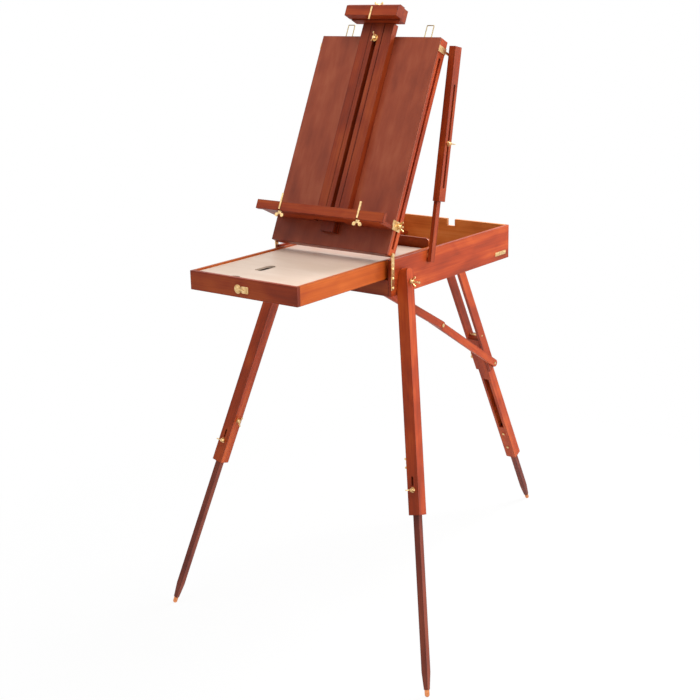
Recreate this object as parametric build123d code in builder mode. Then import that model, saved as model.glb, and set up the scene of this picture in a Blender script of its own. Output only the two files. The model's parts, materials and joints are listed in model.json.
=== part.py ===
from build123d import *
import os
from math import acos, atan2, cos, degrees, hypot, radians, sin, tan

# Wooden sketch-box easel, standing open on its three legs.
# Millimetres. +X is the painter's right, +Y points away from the painter, +Z is up.
# The origin lies on the ground under the middle of the easel's outer box.

# ---------------------------------------------------------------- driving sizes
# Sketch box
box_width = 372.0
box_depth = 560.0
box_height = 92.0
box_underside = 925.0
wall = 9.0
back_wall_thick = 10.0
floor_thick = 4.0
front_rail_height = 41.0
front_rail_thick = 10.0
bolt_notch_width = 27.0
bolt_notch_depth = 20.0

# Lid that stands up as the canvas panel
lid_lean = 64.7
lid_thick = 34.0
lid_axis_depth = 12.0
lid_axis_back = 6.0
lid_front_overhang = 3.5
lid_skin = 5.0
lid_rail_width = 12.0
joint_gap = 0.1
groove_width = 7.0
groove_depth = 6.0
groove_level = 5.0
groove_foot = 14.0
groove_below_head = 49.0

# Brass straps that carry the lid
strap_width = 12.0
strap_thick = 2.0
strap_foot = 16.0
strap_screws = 3
screw_head = 3.2
pivot_radius = 3.0

# Lug on the lid for the side arm
lug_thick = 2.2
lug_reach = 37.0
lug_below_head = 27.0
lug_plate_height = 16.0
lug_plate_in = 2.0
lug_width = 6.0

# Mast
mast_half = 48.5
mast_thick = 19.0
bar_width = 42.0
bar_joint = 1.2
bar_foot = 31.0
guide_foot = 60.0
mast_over_head = 27.5
tongue = 3.0
mast_slot_width = 12.0
mast_slot_foot = 90.0
mast_bolt_below_head = 12.0
mast_washer_radius = 9.0

# Top clamp
clamp_width = 162.0
clamp_body_width = 152.0
clamp_reach = 62.0
clamp_standoff = 11.0
clamp_lip = 27.0
clamp_lip_height = 31.5
clamp_body_drop = 2.5
clamp_bevel_out = 8.0
clamp_bevel_up = 5.0
clamp_nut_in = 24.0
clamp_gap = 0.5

# Canvas ledge
ledge_overhang = 16.0
ledge_reach = 72.0
ledge_lip = 10.0
ledge_lip_height = 24.0
ledge_foot = 58.0
ledge_tray_thick = 10.0
ledge_gap = 0.5
peg_inset = 78.0
peg_width = 5.0
peg_thick = 2.4
peg_sunk = 1.6
ledge_peg_length = 42.0
clamp_peg_length = 34.0
clamp_peg_drop = 10.0
peg_foot_up = 4.0
cheek_thick = 2.0
cheek_height = 24.0
t_bolt_radius = 2.5
t_bolt_over_tray = 4.0
t_head_half = 7.0
t_head_thick = 3.0
cheek_foot_in = 8.0
cheek_reach = 8.0

# Side arms
arm_pivot_back = 165.0
arm_pivot_below_top = 16.0
arm_standoff = 3.0
bar_thick = 10.0
bar_deep = 17.0
bar_foot_reach = 16.5
arm_screw_depth = 7.0
arm_screw_radius = 3.5
sleeve_thick = 19.0
sleeve_deep = 29.0
sleeve_foot = 138.0
sleeve_past_lug = 25.0
arm_bolt_height = 284.0
arm_slot_foot = 172.0
arm_slot_below_head = 93.5
arm_slot_width = 7.0

# Drawer, pulled out towards the painter
drawer_out = 338.0
drawer_back_gap = 2.0
drawer_side_gap = 9.0
drawer_height = 47.0
drawer_below_top = 2.0
drawer_board = 8.0
drawer_front_thick = 10.0
drawer_stop_rise = 20.0
drawer_stop_thick = 6.0
drawer_stop_corner = 10.0
drawer_floor_thick = 3.0
divider_thick = 5.0
divider_height = 26.0
drawer_cells = 4
runner_thick = 7.0
runner_shelf = 18.0

# Palette lying in the drawer
palette_back_gap = 12.0
palette_thick = 5.0
palette_sunk = 4.0
palette_side_gap = 1.5
palette_front_gap = 2.0
batten_width = 8.0
palette_corner = 4.0
thumb_hole_length = 62.0
thumb_hole_width = 26.0
thumb_hole_back = 118.0
thumb_hole_left = 40.0
finger_notch_radius = 18.0

# Drawer latch
latch_plate_width = 40.0
latch_plate_height = 14.0
latch_plate_thick = 1.6
latch_disc_radius = 9.0
latch_lever_length = 20.0
latch_lever_half = 2.2
latch_toggle_thick = 2.2
latch_keeper_half = 4.0
latch_corner = 2.0
latch_below_top = 27.0

# Front legs
leg_section = 31.0
leg_splay = 13.26
leg_stride = 14.84
leg_pivot_back = 44.0
leg_pivot_height = 35.0
leg_pivot_bevel = 20.0
leg_head = 31.0
leg_upper = 579.0
foot_section = 15.8
foot_lap = 150.0
foot_taper = 42.0
foot_end = 10.5
tip_radius = 6.0
tip_socket = 12.0
front_screw_up = 62.0
side_screw_up = 127.0
sight_slot_width = 5.0
sight_slot_over = 10.0
sight_slot_length = 22.0

# Rear leg
rear_lean = 27.4
rear_hinge_inset = 11.0
rear_hinge_drop = 22.0
rail_thick = 8.0
rail_deep = 30.0
rail_spread = 34.0
rail_head = 14.0
rail_length = 425.0
core_deep = 32.0
rear_upper = 805.0
spacer_top = 300.0
spacer_foot = 462.0
sleeve_block_top = 670.0
cross_bolt_over = 8.0
second_bolt_under = 77.0
sleeve_screws_down = (30.0, 90.0)
rear_lap = 65.0
hinge_pin_radius = 4.0
running_fit = 0.05

# Folding strut between the box and the rear leg
strut_pivot_back = 128.0
strut_pivot_drop = 14.0
strut_width = 22.0
strut_thick = 8.0
strut_slack = 0.2
strut_bracket_thick = 2.5
strut_tail = 66.0
strut_leg_reach = 410.0
strut_leg_offset = 10.0
strut_gap = 0.5
strut_screw_radius = 4.2

# Wing nuts and bolts
nut_hub_radius = 5.5
nut_hub_height = 8.0
nut_span = 28.0
nut_wing_thick = 2.6
nut_wing_radius = 5.0
bolt_radius = 3.0

# Wire bails on the lid's free end
bail_inset = 61.0
bail_width = 23.0
bail_height = 42.0
bail_wire = 2.4
bail_corner = 2.0
bail_axle_over = 3.0
bail_axle_in = 4.0

catch_width = 12.0
catch_height = 26.0
catch_plate = 1.4
catch_hook = 2.0
catch_lip = 10.0

# Clearances and small trim
edge_ease = 0.8
slip = 0.3
seat_gap = 0.2
screw_head_height = 1.6
bolt_past_nut = 5.0
leg_bolt_past_nut = 18.0
washer_thick = 1.6

# ---------------------------------------------------------------- worked-out places
half_width = box_width / 2
box_top = box_underside + box_height
inner_half = half_width - wall
ledge_width = box_width + ledge_overhang * 2
peg_spacing = ledge_width - peg_inset * 2
bail_spacing = box_width - bail_inset * 2

leg_cos = cos(radians(leg_splay)) * cos(radians(leg_stride))
leg_pivot_z = box_underside + leg_pivot_height
leg_foot = (leg_pivot_z - tip_radius) / leg_cos
leg_pivot_x = (
    half_width
    + leg_section / 2 / cos(radians(leg_splay))
    - leg_pivot_bevel * tan(radians(leg_splay))
)

rear_hinge_z = box_underside - rear_hinge_drop
rear_hinge_back = box_depth - rear_hinge_inset
rear_foot = (rear_hinge_z - tip_radius) / cos(radians(rear_lean))
rear_reach = rear_hinge_back + rear_foot * sin(radians(rear_lean)) + tip_radius
latch_proud = latch_plate_thick + seat_gap + latch_toggle_thick
front_reach = drawer_out + latch_proud

# Box front, placed so that the easel's outer box is centred on the origin
front = (front_reach - rear_reach) / 2

leg_pivot_y = front + leg_pivot_back
lid_axis_y = front + lid_axis_back
lid_axis_z = box_top + lid_axis_depth + slip
lid_half = half_width - slip
lid_back = -lid_axis_depth
lid_face = lid_thick - lid_axis_depth
lid_foot = -lid_front_overhang
lid_head = box_depth - lid_axis_back
mast_head = lid_head + mast_over_head
mast_bolt_height = lid_head - mast_bolt_below_head
groove_head = lid_head - groove_below_head
lug_height = lid_head - lug_below_head
lid_plane = Plane(
    origin=(0, lid_axis_y, lid_axis_z),
    x_dir=(1, 0, 0),
    z_dir=(0, -sin(radians(lid_lean)), cos(radians(lid_lean))),
)


def lid_point(across, up, out):
    """World point from a place on the lid: across it, up it, and out of its face."""
    return lid_plane.from_local_coords(Vector(across, up, out))


bail_axis_up = lid_head + bail_axle_over
bail_axis_out = lid_back + bail_axle_in
loop_half = (bail_width - bail_wire) / 2
loop_length = bail_height - bail_wire

arm_pivot_y = front + arm_pivot_back
arm_pivot_z = box_top - arm_pivot_below_top
lug_pin = lid_point(0, lug_height, -lug_reach)
arm_length = hypot(lug_pin.Y - arm_pivot_y, lug_pin.Z - arm_pivot_z)
arm_lean = degrees(atan2(lug_pin.Y - arm_pivot_y, lug_pin.Z - arm_pivot_z))
sleeve_head = arm_length + sleeve_past_lug
arm_slot_head = sleeve_head - arm_slot_below_head

drawer_front_y = front - drawer_out
drawer_length = box_depth - back_wall_thick - drawer_back_gap
drawer_back_y = drawer_front_y + drawer_length
drawer_inner_front = drawer_front_y + drawer_front_thick
drawer_inner_back = drawer_back_y - drawer_board
drawer_top = box_top - drawer_below_top
drawer_bottom = drawer_top - drawer_height
drawer_half = inner_half - drawer_side_gap
drawer_inner_half = drawer_half - drawer_board
palette_top = drawer_top - palette_sunk
palette_bottom = palette_top - palette_thick
palette_front = drawer_inner_front + palette_front_gap
palette_back = drawer_inner_back - palette_back_gap
palette_half = drawer_inner_half - palette_side_gap

rear_plane = Plane(
    origin=(0, front + rear_hinge_back, rear_hinge_z),
    x_dir=(1, 0, 0),
    z_dir=(0, -sin(radians(rear_lean)), cos(radians(rear_lean))),
)
core_half = rail_spread / 2 - seat_gap
rail_outer = rail_spread / 2 + rail_thick

strut_y = front + strut_pivot_back
strut_z = box_underside - strut_pivot_drop
strut_end = rear_plane.from_local_coords(Vector(0, strut_leg_offset, -strut_leg_reach))
strut_span = hypot(strut_end.Y - strut_y, strut_end.Z - strut_z)
strut_drop = atan2(strut_z - strut_end.Z, strut_end.Y - strut_y)
strut_fold = rear_hinge_back - strut_leg_reach - strut_pivot_back
strut_upper_length = (strut_span + strut_slack + strut_fold) / 2
strut_lower_length = (strut_span + strut_slack - strut_fold) / 2
strut_bow = acos(
    (strut_upper_length**2 + strut_span**2 - strut_lower_length**2)
    / (2 * strut_upper_length * strut_span)
)
strut_upper_drop = degrees(strut_drop - strut_bow)
knee_y = strut_y + strut_upper_length * cos(radians(strut_upper_drop))
knee_z = strut_z - strut_upper_length * sin(radians(strut_upper_drop))
strut_lower_drop = degrees(atan2(knee_z - strut_end.Z, strut_end.Y - knee_y))
lower_link_inner = rail_outer + strut_gap
upper_link_inner = lower_link_inner + strut_thick + strut_gap

os.makedirs("parts", exist_ok=True)


def keep(builder, name):
    """Label a finished piece and write its file."""
    builder.part.label = name
    export_step(builder.part, f"parts/{name}.step")


def block(x, y, z, mode=Mode.ADD):
    """A board between two corners, given as pairs along the builder's own plane."""
    middle = ((x[0] + x[1]) / 2, (y[0] + y[1]) / 2, (z[0] + z[1]) / 2)
    with Locations(middle):
        Box(abs(x[1] - x[0]), abs(y[1] - y[0]), abs(z[1] - z[0]), mode=mode)


def pair(inner, outer, side):
    """The two X limits of something that sits on one side of the middle."""
    return (side * inner, side * outer)


def rod(seat, radius, reach, mode=Mode.ADD):
    """A round bar on a seat plane, from its first to its second height above the seat."""
    disc = Face(Wire.make_circle(radius, seat.offset(reach[0])))
    extrude(disc, amount=reach[1] - reach[0], mode=mode)


def drill(seat, radius, reach):
    """A round hole along the same run as a bar."""
    rod(seat, radius, reach, Mode.SUBTRACT)


def side_seat(side, x, y, z):
    """A seat on one side of the easel, facing outwards."""
    return Plane(origin=(side * x, y, z), x_dir=(0, 0, 1), z_dir=(side, 0, 0))


def wing_nut(seat, bore=0.0, shank=0.0, washer=0.0):
    """A wing nut on its seat; with a shank it is a wing screw, and it can have a wide washer."""
    with BuildPart(seat) as nut:
        with Locations((0, 0, nut_hub_height / 2)):
            Cone(nut_hub_radius, nut_hub_radius * 0.8, nut_hub_height)
        with BuildSketch(Plane(origin=seat.origin, x_dir=seat.x_dir, z_dir=seat.y_dir)) as wings:
            for side in (-1, 1):
                tip = side * (nut_span / 2 - nut_wing_radius)
                with Locations((tip, -nut_hub_height - 1.5)):
                    Circle(nut_wing_radius)
                with BuildLine():
                    Polyline(
                        (side * 1.5, -1.5),
                        (side * 1.5, -nut_hub_height + 0.5),
                        (tip, -nut_hub_height - 5.0),
                        (tip + side * nut_wing_radius * 0.9, -nut_hub_height - 0.5),
                        (side * 1.5, -1.5),
                    )
                make_face()
        extrude(amount=nut_wing_thick / 2, both=True)
        if washer:
            with Locations((0, 0, washer_thick / 2)):
                Cylinder(washer, washer_thick)
        if bore:
            with Locations((0, 0, nut_hub_height)):
                Cylinder(bore, nut_hub_height * 4, mode=Mode.SUBTRACT)
        if shank:
            with Locations((0, 0, -shank / 2)):
                Cylinder(bolt_radius, shank)
    return nut.part


# ---------------------------------------------------------------- sketch box
for side, hand in ((-1, "left"), (1, "right")):
    with BuildPart() as box_wall:
        block(pair(inner_half, half_width, side), (front, front + box_depth), (box_underside, box_top))
        fillet(box_wall.edges(), edge_ease)
        through = (-1, wall + 1)
        drill(side_seat(side, inner_half, leg_pivot_y, leg_pivot_z), bolt_radius, through)
        drill(side_seat(side, inner_half, arm_pivot_y, arm_pivot_z), arm_screw_radius, through)
    keep(box_wall, f"box_{hand}_wall")

back_inner_y = front + box_depth - back_wall_thick
with BuildPart() as box_back_wall:
    block((-inner_half, inner_half), (back_inner_y, front + box_depth), (box_underside, box_top))
    fillet(box_back_wall.edges().filter_by(Axis.X), edge_ease)
    block(
        (-bolt_notch_width / 2, bolt_notch_width / 2),
        (back_inner_y - 1, front + box_depth + 1),
        (box_top - bolt_notch_depth, box_top + 1),
        mode=Mode.SUBTRACT,
    )
keep(box_back_wall, "box_back_wall")

with BuildPart() as box_front_rail:
    block(
        (-inner_half, inner_half),
        (front, front + front_rail_thick),
        (box_underside, box_underside + front_rail_height),
    )
    fillet(box_front_rail.edges().filter_by(Axis.X), edge_ease)
keep(box_front_rail, "box_front_rail")

with BuildPart() as box_floor:
    block(
        (-inner_half, inner_half),
        (front + front_rail_thick, back_inner_y),
        (box_underside, box_underside + floor_thick),
    )
keep(box_floor, "box_floor")

runner_top = drawer_bottom - slip
run = (front + front_rail_thick, back_inner_y)
with BuildPart() as drawer_runners:
    for side in (-1, 1):
        shelf = pair(drawer_half - runner_shelf, inner_half, side)
        guide = pair(drawer_half + slip, inner_half, side)
        block(shelf, run, (runner_top - runner_thick, runner_top))
        block(guide, run, (runner_top + slip, drawer_top - drawer_height / 2))
keep(drawer_runners, "drawer_runners")

# ---------------------------------------------------------------- fittings on the box
strap_bottom = box_underside + strap_foot
strap_drop = lid_axis_z - strap_bottom
with BuildPart() as lid_straps:
    for side in (-1, 1):
        with BuildSketch(side_seat(side, half_width, lid_axis_y, lid_axis_z)):
            Circle(strap_width / 2)
            with Locations((-strap_drop / 2, 0)):
                Rectangle(strap_drop, strap_width)
            Circle(pivot_radius + running_fit, mode=Mode.SUBTRACT)
        extrude(amount=strap_thick)
keep(lid_straps, "lid_straps")

rear_axle = side_seat(1, 0, rear_plane.origin.Y, rear_hinge_z)
leg_face_x = leg_pivot_x + leg_section / 2 / cos(radians(leg_splay))
pivot_nut_x = leg_face_x + nut_hub_radius * tan(radians(leg_splay)) + slip
bar_inner_x = half_width + arm_standoff
with BuildPart() as box_screws:
    for side in (-1, 1):
        for step in range(strap_screws):
            height = strap_bottom + strap_width / 2 + step * strap_width * 2
            strap_face = side_seat(side, half_width + strap_thick, lid_axis_y, height)
            rod(strap_face, screw_head, (0, screw_head_height))
        leg_seat = side_seat(side, inner_half, leg_pivot_y, leg_pivot_z)
        rod(leg_seat, bolt_radius, (0, pivot_nut_x + nut_hub_height + leg_bolt_past_nut - inner_half))
        arm_seat = side_seat(side, half_width, arm_pivot_y, arm_pivot_z)
        rod(arm_seat, arm_screw_radius, (-wall, arm_standoff + arm_screw_depth - slip))
        rod(arm_seat, bar_deep / 2, (0, arm_standoff - joint_gap))
    rod(rear_axle, hinge_pin_radius, (-rail_outer - screw_head_height, rail_outer))
keep(box_screws, "box_screws")

with BuildPart() as rear_hinge_block:
    block(
        (-core_half, core_half),
        (rear_plane.origin.Y - rail_head, front + box_depth),
        (rear_hinge_z - rail_head, box_underside),
    )
    fillet(rear_hinge_block.edges().filter_by(Axis.X).group_by(Axis.Z)[0], rail_head - 3)
    drill(rear_axle, hinge_pin_radius, (-rail_spread, rail_spread))
keep(rear_hinge_block, "rear_hinge_block")

bracket_inner = upper_link_inner + strut_thick + strut_gap
with BuildPart() as strut_bracket:
    block(
        (lower_link_inner, bracket_inner + strut_bracket_thick),
        (strut_y - strut_width * 0.7, strut_y + strut_width * 0.7),
        (box_underside - strut_bracket_thick, box_underside),
    )
    lug_seat = side_seat(1, bracket_inner, strut_y, strut_z)
    with BuildSketch(lug_seat):
        Circle(strut_width / 2)
        with Locations((strut_pivot_drop / 2, 0)):
            Rectangle(strut_pivot_drop, strut_width)
    extrude(amount=strut_bracket_thick)
    rod(lug_seat, bolt_radius, (-strut_thick - strut_gap, strut_bracket_thick))
keep(strut_bracket, "strut_bracket")

back = front + box_depth
catch_top = lid_axis_z + bail_axis_out - loop_length - bail_wire / 2 - slip
lip_y = front + lid_axis_back + bail_axis_up + bail_wire / 2 + slip * 2
with BuildPart() as back_catches:
    for side in (-1, 1):
        middle = side * bail_spacing / 2
        x = (middle - catch_width / 2, middle + catch_width / 2)
        shelf = (catch_top - catch_hook, catch_top)
        block(x, (back, back + catch_plate), (catch_top - catch_height / 3, catch_top + catch_height * 2 / 3))
        block(x, (back + catch_plate, lip_y), shelf)
        block(x, (lip_y, lip_y + catch_plate), (catch_top - catch_hook, catch_top + catch_lip))
keep(back_catches, "back_catches")

# ---------------------------------------------------------------- lid
with BuildPart(lid_plane) as lid_panel:
    block((-lid_half, lid_half), (lid_foot, lid_head), (lid_face - lid_skin, lid_face))
    fillet(lid_panel.edges(), edge_ease)
    with Locations((0, mast_bolt_height, lid_face)):
        Cylinder(bolt_radius + running_fit, lid_skin * 2 + 1, mode=Mode.SUBTRACT)
keep(lid_panel, "lid_panel")

rail_inner = lid_half - lid_rail_width
rail_out = (lid_back, lid_face - lid_skin)
with BuildPart(lid_plane) as lid_frame:
    for side in (-1, 1):
        block(pair(rail_inner, lid_half, side), (lid_foot, lid_head), rail_out)
    cross_rail = (-rail_inner + joint_gap, rail_inner - joint_gap)
    block(cross_rail, (lid_foot, lid_foot + lid_rail_width), rail_out)
    block(cross_rail, (lid_head - lid_rail_width, lid_head), rail_out)
    fillet(lid_frame.edges(), edge_ease)
    for side in (-1, 1):
        block(
            pair(lid_half - groove_depth, lid_half + 1, side),
            (groove_foot, groove_head),
            (groove_level - groove_width / 2, groove_level + groove_width / 2),
            mode=Mode.SUBTRACT,
        )
        pivot_seat = side_seat(side, lid_half, lid_axis_y, lid_axis_z)
        drill(pivot_seat, pivot_radius, (-lid_rail_width + 2, 1))
keep(lid_frame, "lid_frame")

guide_front = lid_face + mast_thick
tongue_front = lid_face + mast_thick / 2
with BuildPart(lid_plane) as mast_guides:
    for side in (-1, 1):
        block(pair(bar_width / 2, mast_half, side), (guide_foot, mast_head), (lid_face, guide_front))
        block(
            pair(bar_width / 2 - 1, bar_width / 2 + tongue + slip, side),
            (guide_foot - 1, mast_head + 1),
            (lid_face - 1, tongue_front + slip),
            mode=Mode.SUBTRACT,
        )
    long_edges = mast_guides.edges().filter_by(lambda edge: edge.length > mast_head / 2)
    fillet(long_edges.group_by(Axis.Z)[-1], edge_ease)
keep(mast_guides, "mast_guides")

knuckle_half = loop_half - bail_corner - slip
lug_inner = half_width + slip
with BuildPart(lid_plane) as lid_brasses:
    for side in (-1, 1):
        plate_up = (lug_height - lug_plate_height / 2, lug_height + lug_plate_height / 2)
        plate_out = (lid_back + lug_plate_in, lid_face - lug_plate_in)
        strap_up = (lug_height - lug_width / 2, lug_height + lug_width / 2)
        block(pair(lid_half, lug_inner + lug_thick, side), plate_up, plate_out)
        block(pair(lug_inner, lug_inner + lug_thick, side), strap_up, (-lug_reach, plate_out[0] + 1))
        pin = lid_point(0, lug_height, -lug_reach)
        rod(side_seat(side, lug_inner, pin.Y, pin.Z), lug_width / 2, (0, lug_thick))
        pivot_seat = side_seat(side, half_width, lid_axis_y, lid_axis_z)
        pivot_head = strap_thick + seat_gap
        rod(pivot_seat, pivot_radius, (-lid_rail_width + 2, pivot_head))
        rod(pivot_seat, pivot_radius * 1.7, (pivot_head, pivot_head + screw_head_height))
        bail_x = side * bail_spacing / 2
        block(
            (bail_x - knuckle_half, bail_x + knuckle_half),
            (lid_head, bail_axis_up + bail_wire),
            (bail_axis_out - bail_wire, bail_axis_out + bail_wire),
        )
        knuckle = lid_point(bail_x, bail_axis_up, bail_axis_out)
        bail_axle = Plane(origin=knuckle, z_dir=(1, 0, 0))
        drill(bail_axle, bail_wire / 2 + running_fit, (-bail_width, bail_width))
keep(lid_brasses, "lid_brasses")

bail_corners = [
    (-loop_half, 0),
    (loop_half, 0),
    (loop_half, loop_length),
    (-loop_half, loop_length),
]
for side, hand in ((-1, "left"), (1, "right")):
    axle = lid_point(side * bail_spacing / 2, bail_axis_up, bail_axis_out)
    with BuildPart() as bail:
        with BuildLine(Plane(origin=axle, x_dir=(1, 0, 0), z_dir=lid_plane.z_dir)) as loop:
            FilletPolyline(*bail_corners, radius=bail_corner, close=True)
        with BuildSketch(Plane(origin=loop.line @ 0, z_dir=loop.line % 0)):
            Circle(bail_wire / 2)
        sweep(path=loop.line)
    keep(bail, f"bail_{hand}")

# ---------------------------------------------------------------- mast and top clamp
clamp_foot = mast_head + clamp_gap
with BuildPart(lid_plane) as mast_bar:
    bar_half = bar_width / 2 - bar_joint
    block((-bar_half, bar_half), (bar_foot, clamp_foot), (tongue_front - 1, guide_front))
    block(
        (-bar_width / 2 - tongue, bar_width / 2 + tongue),
        (bar_foot, clamp_foot),
        (lid_face + slip, tongue_front),
    )
    slot_head = mast_bolt_height + mast_slot_width / 2 + seat_gap
    slot_middle = (mast_slot_foot + slot_head) / 2
    with BuildSketch(lid_plane.offset(lid_face)):
        with Locations((0, slot_middle)):
            SlotOverall(slot_head - mast_slot_foot, mast_slot_width, rotation=90)
    extrude(amount=mast_thick + 1, mode=Mode.SUBTRACT)
keep(mast_bar, "mast_bar")

clamp_head = clamp_foot + clamp_body_drop + clamp_lip_height
clamp_back = lid_face + clamp_standoff
clamp_front = lid_face + clamp_reach
with BuildPart(lid_plane) as top_clamp:
    block(
        (-clamp_body_width / 2, clamp_body_width / 2),
        (clamp_foot, clamp_head),
        (clamp_back, clamp_front - clamp_lip + 1),
    )
    block(
        (-clamp_width / 2, clamp_width / 2),
        (clamp_foot + clamp_body_drop, clamp_head),
        (clamp_front - clamp_lip, clamp_front),
    )
    lip_edges = top_clamp.edges().filter_by(Axis.X).group_by(SortBy.LENGTH)[-1]
    front_edges = lip_edges.group_by(Axis(lid_plane.origin, lid_plane.z_dir))[-1]
    bevel_edge = front_edges.sort_by(Axis(lid_plane.origin, lid_plane.y_dir))[-1]
    chamfer(bevel_edge, clamp_bevel_up, clamp_bevel_out)
    block(
        (-peg_width / 2 - slip, peg_width / 2 + slip),
        (clamp_foot, clamp_head + 1),
        (clamp_front - peg_sunk - slip, clamp_front + 1),
        mode=Mode.SUBTRACT,
    )
keep(top_clamp, "top_clamp")

up_the_lid = lid_plane.y_dir
with BuildPart() as mast_brasses:
    nut_place = lid_point(0, clamp_head, clamp_front - clamp_nut_in)
    add(wing_nut(Plane(origin=nut_place, x_dir=(1, 0, 0), z_dir=up_the_lid)))
keep(mast_brasses, "mast_brasses")

with BuildPart(lid_plane) as top_pin:
    pin_foot = clamp_foot + clamp_body_drop - clamp_peg_drop
    block(
        (-peg_width / 2, peg_width / 2),
        (pin_foot, pin_foot + clamp_peg_length),
        (clamp_front - peg_sunk, clamp_front - peg_sunk + peg_thick),
    )
keep(top_pin, "top_pin")

with BuildPart() as mast_wing_nut:
    nut_place = lid_point(0, mast_bolt_height, guide_front + seat_gap)
    nut_seat = Plane(origin=nut_place, x_dir=up_the_lid, z_dir=lid_plane.z_dir)
    add(wing_nut(nut_seat, shank=mast_thick + lid_skin / 2, washer=mast_washer_radius))
keep(mast_wing_nut, "mast_wing_nut")

# ---------------------------------------------------------------- canvas ledge
ledge_front = lid_face + ledge_reach
tray_half = half_width
ledge_head = ledge_foot + ledge_lip_height
with BuildPart(lid_plane) as ledge:
    tray_up = (ledge_foot, ledge_foot + ledge_tray_thick)
    lip_out = (ledge_front - ledge_lip, ledge_front)
    block((-tray_half, tray_half), tray_up, (lid_face + ledge_gap, lip_out[0] + 1))
    block((-ledge_width / 2, ledge_width / 2), (ledge_foot, ledge_head), lip_out)
    fillet(ledge.edges().filter_by(Axis.X).group_by(SortBy.LENGTH)[-1], edge_ease)
    block(
        (-mast_half - 1, mast_half + 1),
        (ledge_foot - 1, ledge_foot + ledge_tray_thick + 1),
        (lid_face, guide_front + 1),
        mode=Mode.SUBTRACT,
    )
    for side in (-1, 1):
        x = side * peg_spacing / 2
        block(
            (x - peg_width / 2 - slip, x + peg_width / 2 + slip),
            (ledge_foot - 1, ledge_head + 1),
            (ledge_front - peg_sunk - slip, ledge_front + 1),
            mode=Mode.SUBTRACT,
        )
keep(ledge, "ledge")

t_bolt_up = ledge_foot + ledge_tray_thick + t_bolt_over_tray
cheek_outer = tray_half + cheek_thick
t_head_inner = lid_half - groove_depth + slip
t_head_deep = groove_width - slip * 2
with BuildPart(lid_plane) as ledge_plates:
    for side in (-1, 1):
        block(
            pair(tray_half, cheek_outer, side),
            (ledge_foot, ledge_foot + cheek_height),
            (groove_level - cheek_foot_in, lid_face + cheek_reach),
        )
        block(
            pair(t_head_inner, t_head_inner + t_head_thick, side),
            (t_bolt_up - t_head_half, t_bolt_up + t_head_half),
            (groove_level - t_head_deep / 2, groove_level + t_head_deep / 2),
        )
with BuildPart() as ledge_brasses:
    add(ledge_plates.part)
    bolt = lid_point(0, t_bolt_up, groove_level)
    for side in (-1, 1):
        bolt_seat = side_seat(side, tray_half, bolt.Y, bolt.Z)
        bolt_end = cheek_thick + nut_hub_height + bolt_past_nut
        rod(bolt_seat, t_bolt_radius, (t_head_inner + t_head_thick / 2 - tray_half, bolt_end))
        under = lid_point(side * peg_spacing / 2, ledge_foot, ledge_front - ledge_lip * 0.6)
        add(wing_nut(Plane(origin=under, x_dir=(1, 0, 0), z_dir=-up_the_lid)))
keep(ledge_brasses, "ledge_brasses")

for side, hand in ((-1, "left"), (1, "right")):
    bolt = lid_point(0, t_bolt_up, groove_level)
    with BuildPart() as ledge_wing_nut:
        nut_seat = side_seat(side, cheek_outer + seat_gap, bolt.Y, bolt.Z)
        add(wing_nut(nut_seat, bore=t_bolt_radius + running_fit))
    keep(ledge_wing_nut, f"ledge_wing_nut_{hand}")
    x = side * peg_spacing / 2
    with BuildPart(lid_plane) as peg:
        block(
            (x - peg_width / 2, x + peg_width / 2),
            (ledge_foot + peg_foot_up, ledge_foot + peg_foot_up + ledge_peg_length),
            (ledge_front - peg_sunk, ledge_front - peg_sunk + peg_thick),
        )
    keep(peg, f"canvas_peg_{hand}")

# ---------------------------------------------------------------- side arms
arm_plane = Plane(
    origin=(0, arm_pivot_y, arm_pivot_z),
    x_dir=(1, 0, 0),
    z_dir=(0, sin(radians(arm_lean)), cos(radians(arm_lean))),
)
web_inner = bar_inner_x + bar_thick + slip
sleeve_outer = bar_inner_x + sleeve_thick
for side, hand in ((-1, "left"), (1, "right")):
    bolt = arm_plane.from_local_coords(Vector(0, 0, arm_bolt_height))
    with BuildPart(arm_plane) as arm_bar:
        block(
            pair(bar_inner_x, bar_inner_x + bar_thick, side),
            (-bar_deep / 2, bar_deep / 2),
            (-bar_foot_reach, arm_bolt_height + bar_deep / 2),
        )
        bar_foot_seat = side_seat(side, bar_inner_x, arm_pivot_y, arm_pivot_z)
        drill(bar_foot_seat, arm_screw_radius + running_fit, (-1, arm_screw_depth))
        bar_bolt_seat = side_seat(side, bar_inner_x, bolt.Y, bolt.Z)
        drill(bar_bolt_seat, bolt_radius + running_fit, (bar_thick / 5, bar_thick + 1))
    keep(arm_bar, f"arm_bar_{hand}")
    with BuildPart(arm_plane) as arm_sleeve:
        block(
            pair(bar_inner_x, sleeve_outer, side),
            (-sleeve_deep / 2, sleeve_deep / 2),
            (sleeve_foot, sleeve_head),
        )
        fillet(arm_sleeve.edges(), edge_ease)
        block(
            pair(bar_inner_x - 1, web_inner, side),
            (-bar_deep / 2 - slip, bar_deep / 2 + slip),
            (sleeve_foot - 1, sleeve_head - sleeve_past_lug / 3),
            mode=Mode.SUBTRACT,
        )
        slot_plane = Plane(origin=arm_plane.origin, x_dir=arm_plane.z_dir, z_dir=(1, 0, 0))
        with BuildSketch(slot_plane.offset(side * web_inner - side)):
            with Locations(((arm_slot_foot + arm_slot_head) / 2, 0)):
                SlotOverall(arm_slot_head - arm_slot_foot, arm_slot_width)
        extrude(amount=side * sleeve_thick, mode=Mode.SUBTRACT)
    keep(arm_sleeve, f"arm_sleeve_{hand}")
    nut_place = (side * (sleeve_outer + seat_gap), bolt.Y, bolt.Z)
    nut_seat = Plane(origin=nut_place, x_dir=arm_plane.z_dir, z_dir=(side, 0, 0))
    with BuildPart() as arm_wing_nut:
        add(wing_nut(nut_seat, shank=sleeve_outer - bar_inner_x - bar_thick / 4))
    keep(arm_wing_nut, f"arm_wing_nut_{hand}")

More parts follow.
